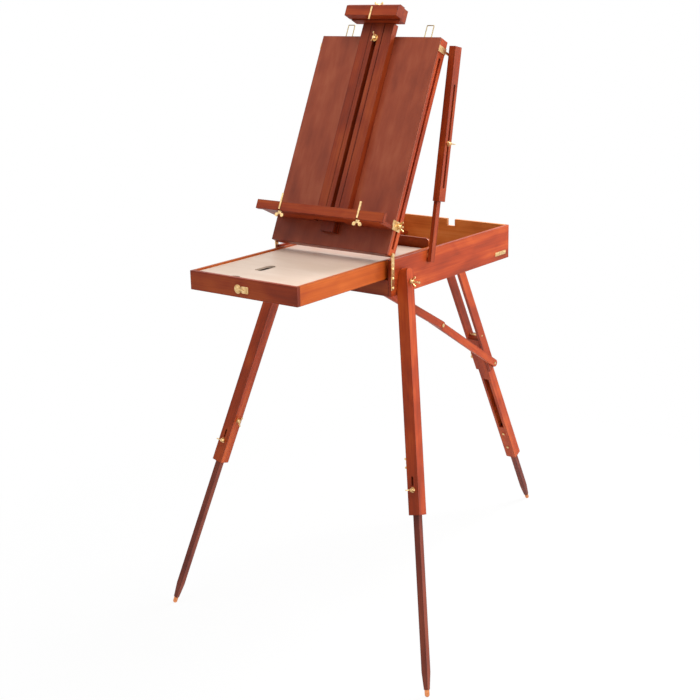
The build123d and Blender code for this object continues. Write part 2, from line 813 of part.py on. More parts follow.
# ---------------------------------------------------------------- drawer and palette
with BuildPart() as drawer_front:
    block(
        (-drawer_half, drawer_half),
        (drawer_front_y, drawer_front_y + drawer_front_thick),
        (drawer_bottom, drawer_top),
    )
    fillet(drawer_front.edges(), edge_ease)
keep(drawer_front, "drawer_front")

with BuildPart() as drawer_walls:
    for side in (-1, 1):
        block(
            pair(drawer_inner_half, drawer_half, side),
            (drawer_front_y + drawer_front_thick, drawer_back_y),
            (drawer_bottom, drawer_top),
        )
    block(
        (-drawer_inner_half, drawer_inner_half),
        (drawer_inner_back, drawer_back_y),
        (drawer_bottom, drawer_top),
    )
    fillet(drawer_walls.edges().filter_by(Axis.Y).group_by(Axis.Z)[-1], edge_ease)
    stop_y = (drawer_inner_back, drawer_inner_back + drawer_stop_thick)
    stop_z = (drawer_top - drawer_height / 2, drawer_top + drawer_stop_rise)
    block((-drawer_inner_half, drawer_inner_half), stop_y, stop_z)
    fillet(drawer_walls.edges().filter_by(Axis.Y).group_by(Axis.Z)[-1], drawer_stop_corner)
keep(drawer_walls, "drawer_walls")

drawer_floor_top = drawer_bottom + drawer_floor_thick
cell = (drawer_inner_back - drawer_inner_front) / drawer_cells
with BuildPart() as drawer_tray:
    block(
        (-drawer_inner_half, drawer_inner_half),
        (drawer_inner_front, drawer_inner_back),
        (drawer_bottom, drawer_floor_top),
    )
    batten_inner = drawer_inner_half - batten_width
    for side in (-1, 1):
        block(
            pair(batten_inner, drawer_inner_half, side),
            (drawer_inner_front, drawer_inner_back),
            (drawer_floor_top, palette_bottom),
        )
    divider_z = (drawer_floor_top, drawer_floor_top + divider_height)
    for step in range(1, drawer_cells):
        y = drawer_inner_front + step * cell
        block((-batten_inner, batten_inner), (y - divider_thick / 2, y + divider_thick / 2), divider_z)
keep(drawer_tray, "drawer_tray")

with BuildPart() as palette:
    block((-palette_half, palette_half), (palette_front, palette_back), (palette_bottom, palette_top))
    fillet(palette.edges().filter_by(Axis.Z), palette_corner)
    fillet(palette.edges().group_by(Axis.Z)[-1], edge_ease)
    with BuildSketch(Plane.XY.offset(palette_bottom - 1)):
        with Locations((-thumb_hole_left, palette_front + thumb_hole_back)):
            SlotOverall(thumb_hole_length, thumb_hole_width, rotation=90)
        with Locations((-thumb_hole_left, palette_front)):
            Circle(finger_notch_radius)
    extrude(amount=palette_thick + 2, mode=Mode.SUBTRACT)
keep(palette, "palette")

latch_z = drawer_top - latch_below_top
latch_seat = Plane(origin=(0, drawer_front_y, latch_z), x_dir=(1, 0, 0), z_dir=(0, -1, 0))
disc_x = -latch_plate_width / 2 + latch_disc_radius * 0.7
with BuildPart(latch_seat) as latch_plate:
    block(
        (-latch_plate_width / 2, latch_plate_width / 2),
        (-latch_plate_height / 2, latch_plate_height / 2),
        (0, latch_plate_thick),
    )
    fillet(latch_plate.edges().filter_by(Axis.Y), latch_corner)
    block(
        (latch_plate_width / 4, latch_plate_width / 2 - latch_corner),
        (-latch_keeper_half, latch_keeper_half),
        (latch_plate_thick, latch_plate_thick + latch_toggle_thick),
    )
keep(latch_plate, "latch_plate")

disc_base = latch_plate_thick + seat_gap
with BuildPart(latch_seat) as latch_toggle:
    with Locations((disc_x, 0, disc_base + latch_toggle_thick / 2)):
        Cylinder(latch_disc_radius, latch_toggle_thick)
    block(
        (disc_x, disc_x + latch_lever_length),
        (-latch_lever_half, latch_lever_half),
        (disc_base, disc_base + latch_toggle_thick),
    )
keep(latch_toggle, "latch_toggle")

# ---------------------------------------------------------------- front legs
def leg_frame(side):
    """The frame of a front leg: origin at its pivot, z up the leg, y away from the painter."""
    splay = radians(leg_splay)
    stride = radians(leg_stride)
    return Plane(
        origin=(side * leg_pivot_x, leg_pivot_y, leg_pivot_z),
        x_dir=(cos(splay), side * sin(splay) * sin(stride), side * sin(splay) * cos(stride)),
        z_dir=(-side * sin(splay), cos(splay) * sin(stride), cos(splay) * cos(stride)),
    )


foot_hole = foot_section / 2 + slip
lower_top = -leg_upper + foot_lap
lower_end = -leg_foot + tip_socket
for side, hand in ((-1, "left"), (1, "right")):
    leg_plane = leg_frame(side)
    leg_axis = Axis(leg_plane.origin, leg_plane.z_dir)
    across = Axis(leg_plane.origin, leg_plane.x_dir)
    half = leg_section / 2
    pivot_seat = side_seat(side, 0, leg_pivot_y, leg_pivot_z)
    with BuildPart(leg_plane) as leg_blank:
        block((-half, half), (-half, half), (-leg_upper, leg_head))
        head_edges = leg_blank.faces().sort_by(leg_axis)[-1].edges().filter_by(across)
        fillet(head_edges, leg_section * 0.42)
        block(
            (-foot_hole, foot_hole),
            (-foot_hole, foot_hole),
            (-leg_upper - 1, -leg_section),
            mode=Mode.SUBTRACT,
        )
        sight_foot = -leg_upper + front_screw_up + sight_slot_over
        block(
            (-sight_slot_width / 2, sight_slot_width / 2),
            (-half - 1, 0),
            (sight_foot, sight_foot + sight_slot_length),
            mode=Mode.SUBTRACT,
        )
    front_seat = Plane(
        origin=leg_plane.from_local_coords(Vector(0, -half, -leg_upper + front_screw_up)),
        x_dir=leg_plane.z_dir,
        z_dir=-leg_plane.y_dir,
    )
    inner_seat = Plane(
        origin=leg_plane.from_local_coords(Vector(-side * half, 0, -leg_upper + side_screw_up)),
        x_dir=leg_plane.z_dir,
        z_dir=-side * leg_plane.x_dir,
    )
    with BuildPart() as leg_upper_part:
        add(leg_blank.part)
        for seat in (front_seat, inner_seat):
            drill(seat, bolt_radius + running_fit, (-half, 1))
        drill(pivot_seat, bolt_radius + running_fit, (inner_half, pivot_nut_x + leg_section))
        block(
            (-half_width - slip, half_width + slip),
            (front, front + box_depth),
            (box_underside - leg_section, box_top + leg_section),
            mode=Mode.SUBTRACT,
        )
    keep(leg_upper_part, f"leg_{hand}_upper")

    with BuildPart(leg_plane) as leg_lower:
        block(
            (-foot_section / 2, foot_section / 2),
            (-foot_section / 2, foot_section / 2),
            (lower_end + foot_taper, lower_top),
        )
        with BuildSketch(leg_plane.offset(lower_end + foot_taper)):
            Rectangle(foot_section, foot_section)
        with BuildSketch(leg_plane.offset(lower_end)):
            Rectangle(foot_end, foot_end)
        loft()
    keep(leg_lower, f"leg_{hand}_lower")

    with BuildPart(leg_plane) as leg_tip:
        with Locations((0, 0, -leg_foot + tip_socket / 2)):
            Cylinder(tip_radius, tip_socket)
        with Locations((0, 0, -leg_foot)):
            Sphere(tip_radius)
    keep(leg_tip, f"leg_{hand}_tip")

    with BuildPart() as leg_pivot_nut:
        nut_seat = side_seat(side, pivot_nut_x, leg_pivot_y, leg_pivot_z)
        add(wing_nut(nut_seat, bore=bolt_radius + running_fit))
    keep(leg_pivot_nut, f"leg_{hand}_pivot_nut")
    for seat, where in ((front_seat, "front"), (inner_seat, "side")):
        with BuildPart() as leg_screw:
            add(wing_nut(seat.offset(seat_gap), shank=half - foot_hole))
        keep(leg_screw, f"leg_{hand}_{where}_screw")

# ---------------------------------------------------------------- rear leg
rail_half = rail_deep / 2
cross_bolt_down = spacer_top - cross_bolt_over
second_bolt_down = spacer_top + second_bolt_under
with BuildPart(rear_plane) as rear_fork:
    for side in (-1, 1):
        block(pair(rail_spread / 2, rail_outer, side), (-rail_half, rail_half), (-rail_length, 0))
        rod(side_seat(side, rail_spread / 2, rear_plane.origin.Y, rear_hinge_z), rail_half, (0, rail_thick))
    drill(rear_axle, hinge_pin_radius + running_fit, (-rail_outer - 1, rail_outer + 1))
    cross = rear_plane.from_local_coords(Vector(0, 0, -cross_bolt_down))
    cross_seat = side_seat(1, 0, cross.Y, cross.Z)
    drill(cross_seat, bolt_radius, (-rail_outer - 1, rail_outer + 1))
keep(rear_fork, "rear_fork")

core_front = core_deep / 2
with BuildPart(rear_plane) as rear_core:
    block((-core_half, core_half), (-core_front, core_front), (-rear_upper, -spacer_top))
    fillet(rear_core.edges().filter_by(Axis(rear_plane.origin, rear_plane.z_dir)), edge_ease)
    block(
        (-foot_hole, foot_hole),
        (-foot_hole, foot_hole),
        (-rear_upper - 1, -spacer_foot),
        mode=Mode.SUBTRACT,
    )
    block(
        (-foot_hole, foot_hole),
        (-core_front - 1, 0),
        (-sleeve_block_top, -spacer_foot),
        mode=Mode.SUBTRACT,
    )
keep(rear_core, "rear_core")

with BuildPart() as rear_brasses:
    rod(cross_seat, bolt_radius, (-rail_outer - screw_head_height, rail_outer))
    second = rear_plane.from_local_coords(Vector(0, 0, -second_bolt_down))
    second_end = rail_outer + nut_hub_height + bolt_past_nut
    rod(side_seat(-1, 0, second.Y, second.Z), bolt_radius, (rail_outer, second_end))
    add(wing_nut(side_seat(-1, rail_outer, second.Y, second.Z)))
    for down in sleeve_screws_down:
        face = rear_plane.from_local_coords(Vector(0, -core_front, -sleeve_block_top - down))
        rod(Plane(origin=face, z_dir=-rear_plane.y_dir), strut_screw_radius, (0, screw_head_height))
keep(rear_brasses, "rear_brasses")

rear_lower_top = -rear_upper + rear_lap
rear_lower_end = -rear_foot + tip_socket
with BuildPart(rear_plane) as rear_lower:
    block(
        (-foot_section / 2, foot_section / 2),
        (-foot_section / 2, foot_section / 2),
        (rear_lower_end + foot_taper, rear_lower_top),
    )
    with BuildSketch(rear_plane.offset(rear_lower_end + foot_taper)):
        Rectangle(foot_section, foot_section)
    with BuildSketch(rear_plane.offset(rear_lower_end)):
        Rectangle(foot_end, foot_end)
    loft()
keep(rear_lower, "rear_lower")

with BuildPart(rear_plane) as rear_tip:
    with Locations((0, 0, -rear_foot + tip_socket / 2)):
        Cylinder(tip_radius, tip_socket)
    with Locations((0, 0, -rear_foot)):
        Sphere(tip_radius)
keep(rear_tip, "rear_tip")

# ---------------------------------------------------------------- folding strut
upper_seat = Plane(
    origin=(upper_link_inner, strut_y, strut_z),
    x_dir=(0, cos(radians(strut_upper_drop)), -sin(radians(strut_upper_drop))),
    z_dir=(1, 0, 0),
)
with BuildPart(upper_seat) as strut_upper:
    with BuildSketch(upper_seat):
        with Locations((strut_upper_length / 2, 0)):
            SlotCenterToCenter(strut_upper_length, strut_width)
        with Locations((0, 0), (strut_upper_length, 0)):
            Circle(bolt_radius + running_fit, mode=Mode.SUBTRACT)
    extrude(amount=strut_thick)
keep(strut_upper, "strut_upper")

lower_seat = Plane(
    origin=(lower_link_inner, knee_y, knee_z),
    x_dir=(0, cos(radians(strut_lower_drop)), -sin(radians(strut_lower_drop))),
    z_dir=(1, 0, 0),
)
with BuildPart(lower_seat) as strut_lower:
    with BuildSketch(lower_seat):
        with Locations(((strut_lower_length - strut_tail) / 2, 0)):
            SlotCenterToCenter(strut_lower_length + strut_tail, strut_width)
        Circle(bolt_radius, mode=Mode.SUBTRACT)
        with Locations((strut_lower_length, 0)):
            Circle(strut_screw_radius, mode=Mode.SUBTRACT)
    extrude(amount=strut_thick)
keep(strut_lower, "strut_lower")

knee_seat = side_seat(1, lower_link_inner, knee_y, knee_z)
with BuildPart() as strut_rivets:
    head_base = 2 * strut_thick + strut_gap + seat_gap
    rod(knee_seat, bolt_radius, (0, head_base))
    rod(knee_seat, bolt_radius * 1.8, (head_base, head_base + screw_head_height))
    end_seat = side_seat(1, lower_link_inner, strut_end.Y, strut_end.Z)
    rod(end_seat, strut_screw_radius, (0, strut_thick + strut_gap / 2))
keep(strut_rivets, "strut_rivets")
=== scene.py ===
import json
from math import cos, pi, radians, sin

import bmesh
import bpy
from mathutils import Matrix, Vector

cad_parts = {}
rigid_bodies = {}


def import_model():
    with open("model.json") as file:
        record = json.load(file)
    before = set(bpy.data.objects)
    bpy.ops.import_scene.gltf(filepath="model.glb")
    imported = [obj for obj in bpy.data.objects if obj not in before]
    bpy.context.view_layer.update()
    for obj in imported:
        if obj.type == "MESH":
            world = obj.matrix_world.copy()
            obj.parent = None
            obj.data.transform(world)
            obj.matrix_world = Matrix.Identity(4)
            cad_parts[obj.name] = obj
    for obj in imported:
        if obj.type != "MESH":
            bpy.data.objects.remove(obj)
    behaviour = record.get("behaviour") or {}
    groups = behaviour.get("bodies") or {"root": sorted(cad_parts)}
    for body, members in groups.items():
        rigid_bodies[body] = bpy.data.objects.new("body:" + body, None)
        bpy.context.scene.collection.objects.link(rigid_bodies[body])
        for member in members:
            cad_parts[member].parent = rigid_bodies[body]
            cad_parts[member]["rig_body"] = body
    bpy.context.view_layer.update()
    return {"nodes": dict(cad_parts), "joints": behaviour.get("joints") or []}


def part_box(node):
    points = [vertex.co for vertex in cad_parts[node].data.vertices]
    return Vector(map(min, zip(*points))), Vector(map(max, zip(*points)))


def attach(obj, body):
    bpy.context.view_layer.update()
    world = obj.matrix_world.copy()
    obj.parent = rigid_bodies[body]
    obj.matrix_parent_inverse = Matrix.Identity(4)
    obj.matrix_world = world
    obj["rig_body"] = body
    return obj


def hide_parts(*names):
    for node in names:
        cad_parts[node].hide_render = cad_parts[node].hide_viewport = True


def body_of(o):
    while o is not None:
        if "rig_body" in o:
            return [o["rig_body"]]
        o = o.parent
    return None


bl_info = {
    "name": "Sketch-box easel",
    "version": (1, 0, 0),
    "blender": (4, 5, 0),
    "location": "View3D > Sidebar > Easel",
    "description": "Dresses a wooden sketch-box easel: stained beech, plywood, brass and its stage",
    "category": "Object",
}

for leftover in list(bpy.data.objects):
    bpy.data.objects.remove(leftover)
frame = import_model()

MM = 0.001


# ---------------------------------------------------------------- small helpers
def linear(hex_colour):
    """Turns an sRGB hex value such as "#a04020" into linear red, green, blue and alpha."""
    channels = [int(hex_colour[i : i + 2], 16) / 255 for i in (1, 3, 5)]
    return tuple(c / 12.92 if c <= 0.04045 else ((c + 0.055) / 1.055) ** 2.4 for c in channels) + (1.0,)


def dimmed(colour, shares):
    """A linear colour whose red, green and blue are cut down to these shares."""
    return tuple(channel * share for channel, share in zip(colour, shares)) + (1.0,)


def add_node(tree, kind, inputs=None, stops=(), **settings):
    """Adds a node with its settings, its inputs and, on a colour ramp, its (position, colour) stops.

    An input is a value, the socket that feeds it, or a node, whose first output in use feeds it."""
    node = tree.nodes.new(kind)
    for name, value in settings.items():
        setattr(node, name, value)
    for key, value in (inputs or {}).items():
        if isinstance(value, bpy.types.Node):
            value = next(output for output in value.outputs if output.enabled)
        if isinstance(value, bpy.types.NodeSocket):
            tree.links.new(value, node.inputs[key])
        else:
            node.inputs[key].default_value = value
    # a colour ramp starts with two stops
    for _ in stops[2:]:
        node.color_ramp.elements.new(1.0)
    for index, (position, colour) in enumerate(stops):
        node.color_ramp.elements[index].position = position
        node.color_ramp.elements[index].color = colour
    return node


def new_material(name):
    """An empty node material and its tree, ready for a shader."""
    material = bpy.data.materials.new(name)
    material.use_nodes = True
    material.node_tree.nodes.clear()
    return material, material.node_tree


def finish_material(tree, shader):
    """Joins a shader to the material's output."""
    add_node(tree, "ShaderNodeOutputMaterial", {"Surface": shader})


def weighed_sum(tree, start, *parts):
    """A starting value plus patterns, each times its weight."""
    total = start
    for pattern, weight in parts:
        inputs = {0: pattern, 1: weight, 2: total}
        total = add_node(tree, "ShaderNodeMath", inputs, operation="MULTIPLY_ADD")
    return total


def past(tree, pattern, level):
    """0 up to a level of a pattern, then a climb to 1 within the next 0.2."""
    inputs = {0: pattern, 1: 5.0, 2: -5.0 * level}
    return add_node(tree, "ShaderNodeMath", inputs, operation="MULTIPLY_ADD", use_clamp=True)


def laid_over(tree, under, mask, strength, over):
    """One colour laid over another where a mask is up, as thickly as the strength says."""
    cover = add_node(tree, "ShaderNodeMath", {0: mask, 1: strength}, operation="MULTIPLY")
    return add_node(tree, "ShaderNodeMix", {0: cover, 6: under, 7: over}, data_type="RGBA")


def stretched_noise(tree, place, across, along, detail=2.0, roughness=0.5, distortion=0.0, scale=1.0):
    """Noise whose features are so many millimetres across the grain and along it, divided by the scale."""
    wide, long = 1 / (across * MM), 1 / (along * MM)
    stretched = add_node(tree, "ShaderNodeMapping", {"Vector": place, "Scale": (wide, wide, long)})
    return add_node(
        tree,
        "ShaderNodeTexNoise",
        {
            "Vector": stretched,
            "Scale": scale,
            "Detail": detail,
            "Roughness": roughness,
            "Distortion": distortion,
        },
    )


# ---------------------------------------------------------------- materials
# where the dark, middle and light tones stand on the scale of a board's figure
GRAIN_LEVELS = (0.15, 0.5, 0.85)
# radians of wave over the full range of the noise that bends the rings
RING_WAVES = 36.0
# thickness of one ply, in millimetres
PLY = 1.6


def grain_coordinates(tree, grain):
    """Object coordinates turned so that the grain runs along Z."""
    place = add_node(tree, "ShaderNodeTexCoord").outputs["Object"]
    turn = Vector(grain).rotation_difference(Vector((0, 0, 1))).to_euler()
    return add_node(tree, "ShaderNodeMapping", {"Vector": place, "Rotation": turn})


def edge_mask(tree, width):
    """1 on the outer corners of a board, 0 on its flats, over so many millimetres."""
    eased = add_node(tree, "ShaderNodeBevel", {"Radius": width * MM}, samples=4)
    flat = add_node(tree, "ShaderNodeNewGeometry").outputs["Normal"]
    facing = add_node(tree, "ShaderNodeVectorMath", {0: eased, 1: flat}, operation="DOT_PRODUCT")
    away = add_node(tree, "ShaderNodeMath", {0: 1.0, 1: facing}, operation="SUBTRACT")
    return past(tree, away, 0.0)


def towards(tree, way):
    """How squarely a face looks a given way: 1 straight at it, 0 across it, -1 away."""
    normal = add_node(tree, "ShaderNodeTexCoord").outputs["Normal"]
    aim = Vector(way).normalized()
    return add_node(tree, "ShaderNodeVectorMath", {0: normal, 1: aim}, operation="DOT_PRODUCT")


def stained_beech(name, grain, tones, share=1.0, sheen=0.12, stripes=1.0, length=420.0, outside=None):
    """Beech, planed, stained mahogany red and lacquered to a satin sheen.

    The eye sees straight fine grain, short dark flecks, slow changes of tone from board
    to board, darker stain in the end grain, a darker tone along the corners, and a soft highlight.
    Its stripes can be fainter and its figure shorter, as on veneer, and a board may show
    other tones on its outside, the side that faces a given way."""
    material, tree = new_material(name)
    coords = grain_coordinates(tree, grain)
    # a share under 1 darkens every tone of the board: painted shade for boards that lie in shadow
    dark, middle, light = (dimmed(linear(tone), (share,) * 3) for tone in tones)
    deep = dimmed(dark, (0.4,) * 3)
    # slow change of tone, about a board's width across and half a metre along
    slow = stretched_noise(tree, coords, across=38.0, along=length, detail=3.0, roughness=0.55)
    # stain taken up in clouds, a hand's breadth across
    clouds = stretched_noise(tree, coords, across=60.0, along=110.0, distortion=0.6)
    # growth rings cut along, some 5 mm apart, wavering by a few millimetres
    waver = stretched_noise(tree, coords, across=5.0, along=250.0, detail=3.0, scale=0.3)
    waves = add_node(tree, "ShaderNodeMath", {0: waver, 1: RING_WAVES}, operation="MULTIPLY")
    waves = add_node(tree, "ShaderNodeMath", {0: waves}, operation="SINE")
    rings = weighed_sum(tree, 0.5, (waves, 0.5))
    # fibres, drawn 1.1 mm wide so that they show
    fibres = stretched_noise(tree, coords, across=1.1, along=70.0, roughness=0.6)
    # ray flecks of beech, 1 mm by 5 mm
    flecks = past(tree, stretched_noise(tree, coords, across=0.9, along=5.0, detail=1.0), 0.6)
    tone = weighed_sum(
        tree,
        -0.35 - 0.17 * stripes,
        (slow, 1.0),
        (clouds, 0.7),
        (rings, 0.1 * stripes),
        (fibres, 0.24 * stripes),
    )
    stops = tuple(zip(GRAIN_LEVELS, (dark, middle, light)))
    colour = add_node(tree, "ShaderNodeValToRGB", {"Fac": tone}, stops)
    if outside:
        way, stains = outside
        stops = tuple(zip(GRAIN_LEVELS, map(linear, stains)))
        stained = add_node(tree, "ShaderNodeValToRGB", {"Fac": tone}, stops)
        shown = add_node(tree, "ShaderNodeMath", {0: towards(tree, way), 1: 0.5}, operation="GREATER_THAN")
        colour = laid_over(tree, colour, shown, 1.0, stained)
    colour = laid_over(tree, colour, flecks, 0.22, dark)
    # a darker tone along the corners of each board, 3.6 mm in
    colour = laid_over(tree, colour, edge_mask(tree, 3.6), 0.8, deep)
    # end grain drinks the stain
    squarely = add_node(tree, "ShaderNodeMath", {0: towards(tree, grain)}, operation="ABSOLUTE")
    colour = laid_over(tree, colour, past(tree, squarely, 0.8), 0.4, deep)
    height = weighed_sum(tree, 0.0, (fibres, 0.6), (flecks, -0.25))
    bump = add_node(tree, "ShaderNodeBump", {"Strength": 0.22, "Distance": 0.3 * MM, "Height": height})
    shader = add_node(
        tree,
        "ShaderNodeBsdfPrincipled",
        {
            "Base Color": colour,
            "Roughness": weighed_sum(tree, 0.4, (fibres, 0.16)),
            "IOR": 1.28,
            "Normal": bump,
            "Coat Weight": sheen,
            "Coat Roughness": 0.3,
        },
    )
    finish_material(tree, shader)
    return material


def birch_ply(name, grain, tones, sheen=0.0):
    """Birch plywood, sanded: pale, with a faint silky figure and ply lines on its edges."""
    material, tree = new_material(name)
    coords = grain_coordinates(tree, grain)
    dark, light, glue = (linear(tone) for tone in tones)
    slow = stretched_noise(tree, coords, across=40.0, along=260.0, detail=3.0, distortion=0.4)
    fibres = stretched_noise(tree, coords, across=1.0, along=45.0)
    tone = weighed_sum(tree, 0.0, (slow, 0.75), (fibres, 0.3))
    colour = add_node(tree, "ShaderNodeValToRGB", {"Fac": tone}, ((0.3, dark), (0.75, light)))
    # on the edges each second ply shows its end grain
    place = add_node(tree, "ShaderNodeTexCoord").outputs["Object"]
    height = add_node(tree, "ShaderNodeSeparateXYZ", {0: place}).outputs["Z"]
    waves = add_node(tree, "ShaderNodeMath", {0: height, 1: pi / (PLY * MM)}, operation="MULTIPLY")
    waves = add_node(tree, "ShaderNodeMath", {0: waves}, operation="SINE")
    plies = add_node(tree, "ShaderNodeMath", {0: waves, 1: 0.0}, operation="GREATER_THAN")
    level = add_node(tree, "ShaderNodeMath", {0: towards(tree, (0, 0, 1))}, operation="ABSOLUTE")
    side = add_node(tree, "ShaderNodeMath", {0: level, 1: 0.5}, operation="LESS_THAN")
    plies = add_node(tree, "ShaderNodeMath", {0: plies, 1: side}, operation="MULTIPLY")
    bump = add_node(tree, "ShaderNodeBump", {"Strength": 0.15, "Distance": 0.2 * MM, "Height": fibres})
    shader = add_node(
        tree,
        "ShaderNodeBsdfPrincipled",
        {
            "Base Color": laid_over(tree, colour, plies, 0.55, glue),
            "Roughness": 0.55,
            "IOR": 1.45,
            "Normal": bump,
            "Coat Weight": sheen,
            "Coat Roughness": 0.3,
        },
    )
    finish_material(tree, shader)
    return material


def polished_brass(name, colour, roughness):
    """Brass, pressed or turned and polished: warm yellow metal with fine wear, dull patches and a painted
    dark reflection along its corners.
    """
    material, tree = new_material(name)
    place = add_node(tree, "ShaderNodeTexCoord").outputs["Object"]
    bright = linear(colour)
    worn = dimmed(bright, (0.72, 0.62, 0.5))
    # tarnish in patches of 6 mm, and casting grain of 0.8 mm
    patches = stretched_noise(tree, place, across=6.25, along=6.25, detail=3.0)
    casting = stretched_noise(tree, place, across=0.8, along=0.8, detail=1.0)
    tone = add_node(tree, "ShaderNodeValToRGB", {"Fac": patches}, ((0.35, worn), (0.62, bright)))
    # the polish never reaches the corners
    # painted dark reflection: the corners are darkened to olive, where polished metal mirrors dark
    # surroundings
    tone = laid_over(tree, tone, edge_mask(tree, 0.9), 0.6, linear("#6b5836"))
    rough = weighed_sum(tree, roughness + 0.12, (patches, -0.2))
    bump = add_node(tree, "ShaderNodeBump", {"Strength": 0.12, "Distance": 0.2 * MM, "Height": casting})
    shader = add_node(
        tree,
        "ShaderNodeBsdfPrincipled",
        {"Base Color": tone, "Metallic": 1.0, "Roughness": rough, "Normal": bump},
    )
    finish_material(tree, shader)
    return material


def dress(names, material):
    """Gives CAD nodes their finish."""
    for name in names:
        slots = frame["nodes"][name].data.materials
        slots.clear()
        slots.append(material)


# ---------------------------------------------------------------- small shapes
CORNER_STEPS = 4
SHARP_FROM = radians(38)


def place_at(origin, x_way, z_way):
    """A matrix that stands a shape at a point, its X and Z axes pointing these ways."""
    z_axis = Vector(z_way).normalized()
    x_axis = (Vector(x_way) - z_axis * Vector(x_way).dot(z_axis)).normalized()
    turn = Matrix((x_axis, z_axis.cross(x_axis), z_axis)).transposed()
    return Matrix.Translation(origin) @ turn.to_4x4()


def turned(shape, place, profile, closed=False, steps=24):
    """Turns a profile of (radius, height) points, in millimetres, round the Z axis of a place."""
    rings = []
    for radius, height in profile:
        count = steps if radius > 0 else 1
        angles = [2 * pi * step / count for step in range(count)]
        points = [Vector((radius * cos(angle), radius * sin(angle), height)) * MM for angle in angles]
        rings.append([shape.verts.new(place @ point) for point in points])
    if closed:
        rings.append(rings[0])
    for low, high in zip(rings, rings[1:]):
        for step in range(steps):
            here, there = step, (step + 1) % steps
            below = [low[here % len(low)], low[there % len(low)]]
            above = [high[there % len(high)], high[here % len(high)]]
            # at the axis two corners are one
            shape.faces.new(list(dict.fromkeys(below + above)))


def plate(shape, place, outline, heights, ease=0.3):
    """A flat plate with eased edges: an outline on a place's XY plane between two heights, in millimetres."""
    rows = []
    for height in heights:
        rows.append([shape.verts.new(place @ (Vector((x, y, height)) * MM)) for x, y in outline])
    caps = [shape.faces.new(row) for row in rows]
    for here in range(len(outline)):
        shape.faces.new((rows[0][here - 1], rows[0][here], rows[1][here], rows[1][here - 1]))
    rim = [edge for cap in caps for edge in cap.edges]
    bmesh.ops.bevel(shape, geom=rim, offset=ease * MM, segments=2, profile=0.5, affect="EDGES")


def rounded(width, height, corner, middle=(0.0, 0.0)):
    """The outline of a rounded rectangle, in millimetres."""
    outline = []
    for quarter, (right, up) in enumerate(((1, 1), (-1, 1), (-1, -1), (1, -1))):
        x = middle[0] + right * (width / 2 - corner)
        y = middle[1] + up * (height / 2 - corner)
        for step in range(CORNER_STEPS + 1):
            angle = (quarter + step / CORNER_STEPS) * pi / 2
            outline.append((x + corner * cos(angle), y + corner * sin(angle)))
    return outline


def brass_piece(name, shape, body, stands_for=()):
    """Turns a bmesh into a brass piece that moves with a body."""
    bmesh.ops.recalc_face_normals(shape, faces=shape.faces)
    mesh = bpy.data.meshes.new(name)
    shape.to_mesh(mesh)
    shape.free()
    mesh.materials.append(bpy.data.materials["polished_brass"])
    mesh.polygons.foreach_set("use_smooth", [True] * len(mesh.polygons))
    mesh.set_sharp_from_angle(angle=SHARP_FROM)
    piece = bpy.data.objects.new(name, mesh)
    bpy.context.scene.collection.objects.link(piece)
    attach(piece, body)
    if stands_for:
        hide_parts(*stands_for)


def carrier(name):
    """The body that carries a CAD node."""
    return body_of(frame["nodes"][name])[0]


def node_of(body):
    """The only CAD node of a body."""
    found = [node for node in frame["nodes"].values() if body_of(node) == [body]]
    if len(found) != 1:
        raise ValueError(f"{body} holds {len(found)} CAD nodes instead of one")
    return found[0]


# ---------------------------------------------------------------- wing nuts, in millimetres
NUT_HEIGHT = 14.5
WASHER_THICK = 1.0
HUB = ((5.6, WASHER_THICK), (5.2, 4.0), (4.5, 7.6), (3.8, 8.4))
CROWN = 8.7
WING = (
    (3.4, 1.8),
    (4.6, 7.0),
    (6.2, 8.8),
    (7.8, 11.2),
    (8.8, 13.3),
    (10.4, 14.4),
    (12.3, 14.0),
    (13.6, 12.2),
    (13.4, 9.8),
    (12.0, 7.6),
    (9.6, 5.2),
    (7.0, 3.0),
)
# a CAD nut's corners nearer its axis than the first are its hub's, those past the second its wings'
HUB_REACH = 7
WING_START = 10
# how far above the seat a corner still belongs to the foot
FOOT_DEPTH = 2
# a wing screw's shank reaches farther below the seat than this
NO_SHANK = 1


def nut_seat(node, origin, axis):
    """Where a wing nut sits: its seat with Z outwards and X along the wings, then, in millimetres,
    how far its shank reaches below the seat, its bore's radius and its foot's radius."""
    spans = []
    for corner in node.data.vertices:
        up = (corner.co - origin).dot(axis)
        spans.append((up / MM, (corner.co - origin - axis * up) / MM))
    wing = [(up, out) for up, out in spans if out.length > WING_START]
    hub = [up for up, out in spans if out.length < HUB_REACH]
    outward = 1 if sum(up for up, out in wing) / len(wing) > sum(hub) / len(hub) else -1
    seat = max(outward * up for up, out in spans) - NUT_HEIGHT
    shank = seat - min(outward * up for up, out in spans)
    bore = min(out.length for up, out in spans)
    foot = max(out.length for up, out in spans if outward * up < seat + FOOT_DEPTH)
    along = sum((out for up, out in wing if out.dot(wing[0][1]) > 0), Vector())
    place = place_at(origin + axis * outward * seat * MM, along, axis * outward)
    return place, shank, bore, foot


def wing_nut(shape, place, shank, bore, washer, thick):
    """A cast wing nut on its washer; with a shank it is a wing screw."""
    hub = ((washer, 0.0), (washer, WASHER_THICK)) + HUB
    if shank > NO_SHANK:
        turned(shape, place, ((0.0, -shank), (bore, -shank), (bore, 0.0)) + hub + ((0.0, CROWN),))
    else:
        turned(shape, place, ((bore, 0.0),) + hub + ((bore, HUB[-1][1]),), closed=True)
    upright = place @ Matrix.Rotation(pi / 2, 4, "X")
    for side in (-1, 1):
        plate(shape, upright, [(side * x, y) for x, y in WING], (-thick / 2, thick / 2), ease=0.5)


# ---------------------------------------------------------------- latch and blank plate, in millimetres
LATCH_DISC = ((0.0, 0.0), (11.0, 0.0), (11.0, 0.8), (10.4, 1.3), (0.0, 1.3))
LATCH_KNOB = ((0.0, 1.6), (8.8, 1.6), (8.8, 2.5), (8.0, 3.1), (6.4, 2.9), (5.8, 3.5), (3.0, 3.8), (0.0, 3.9))
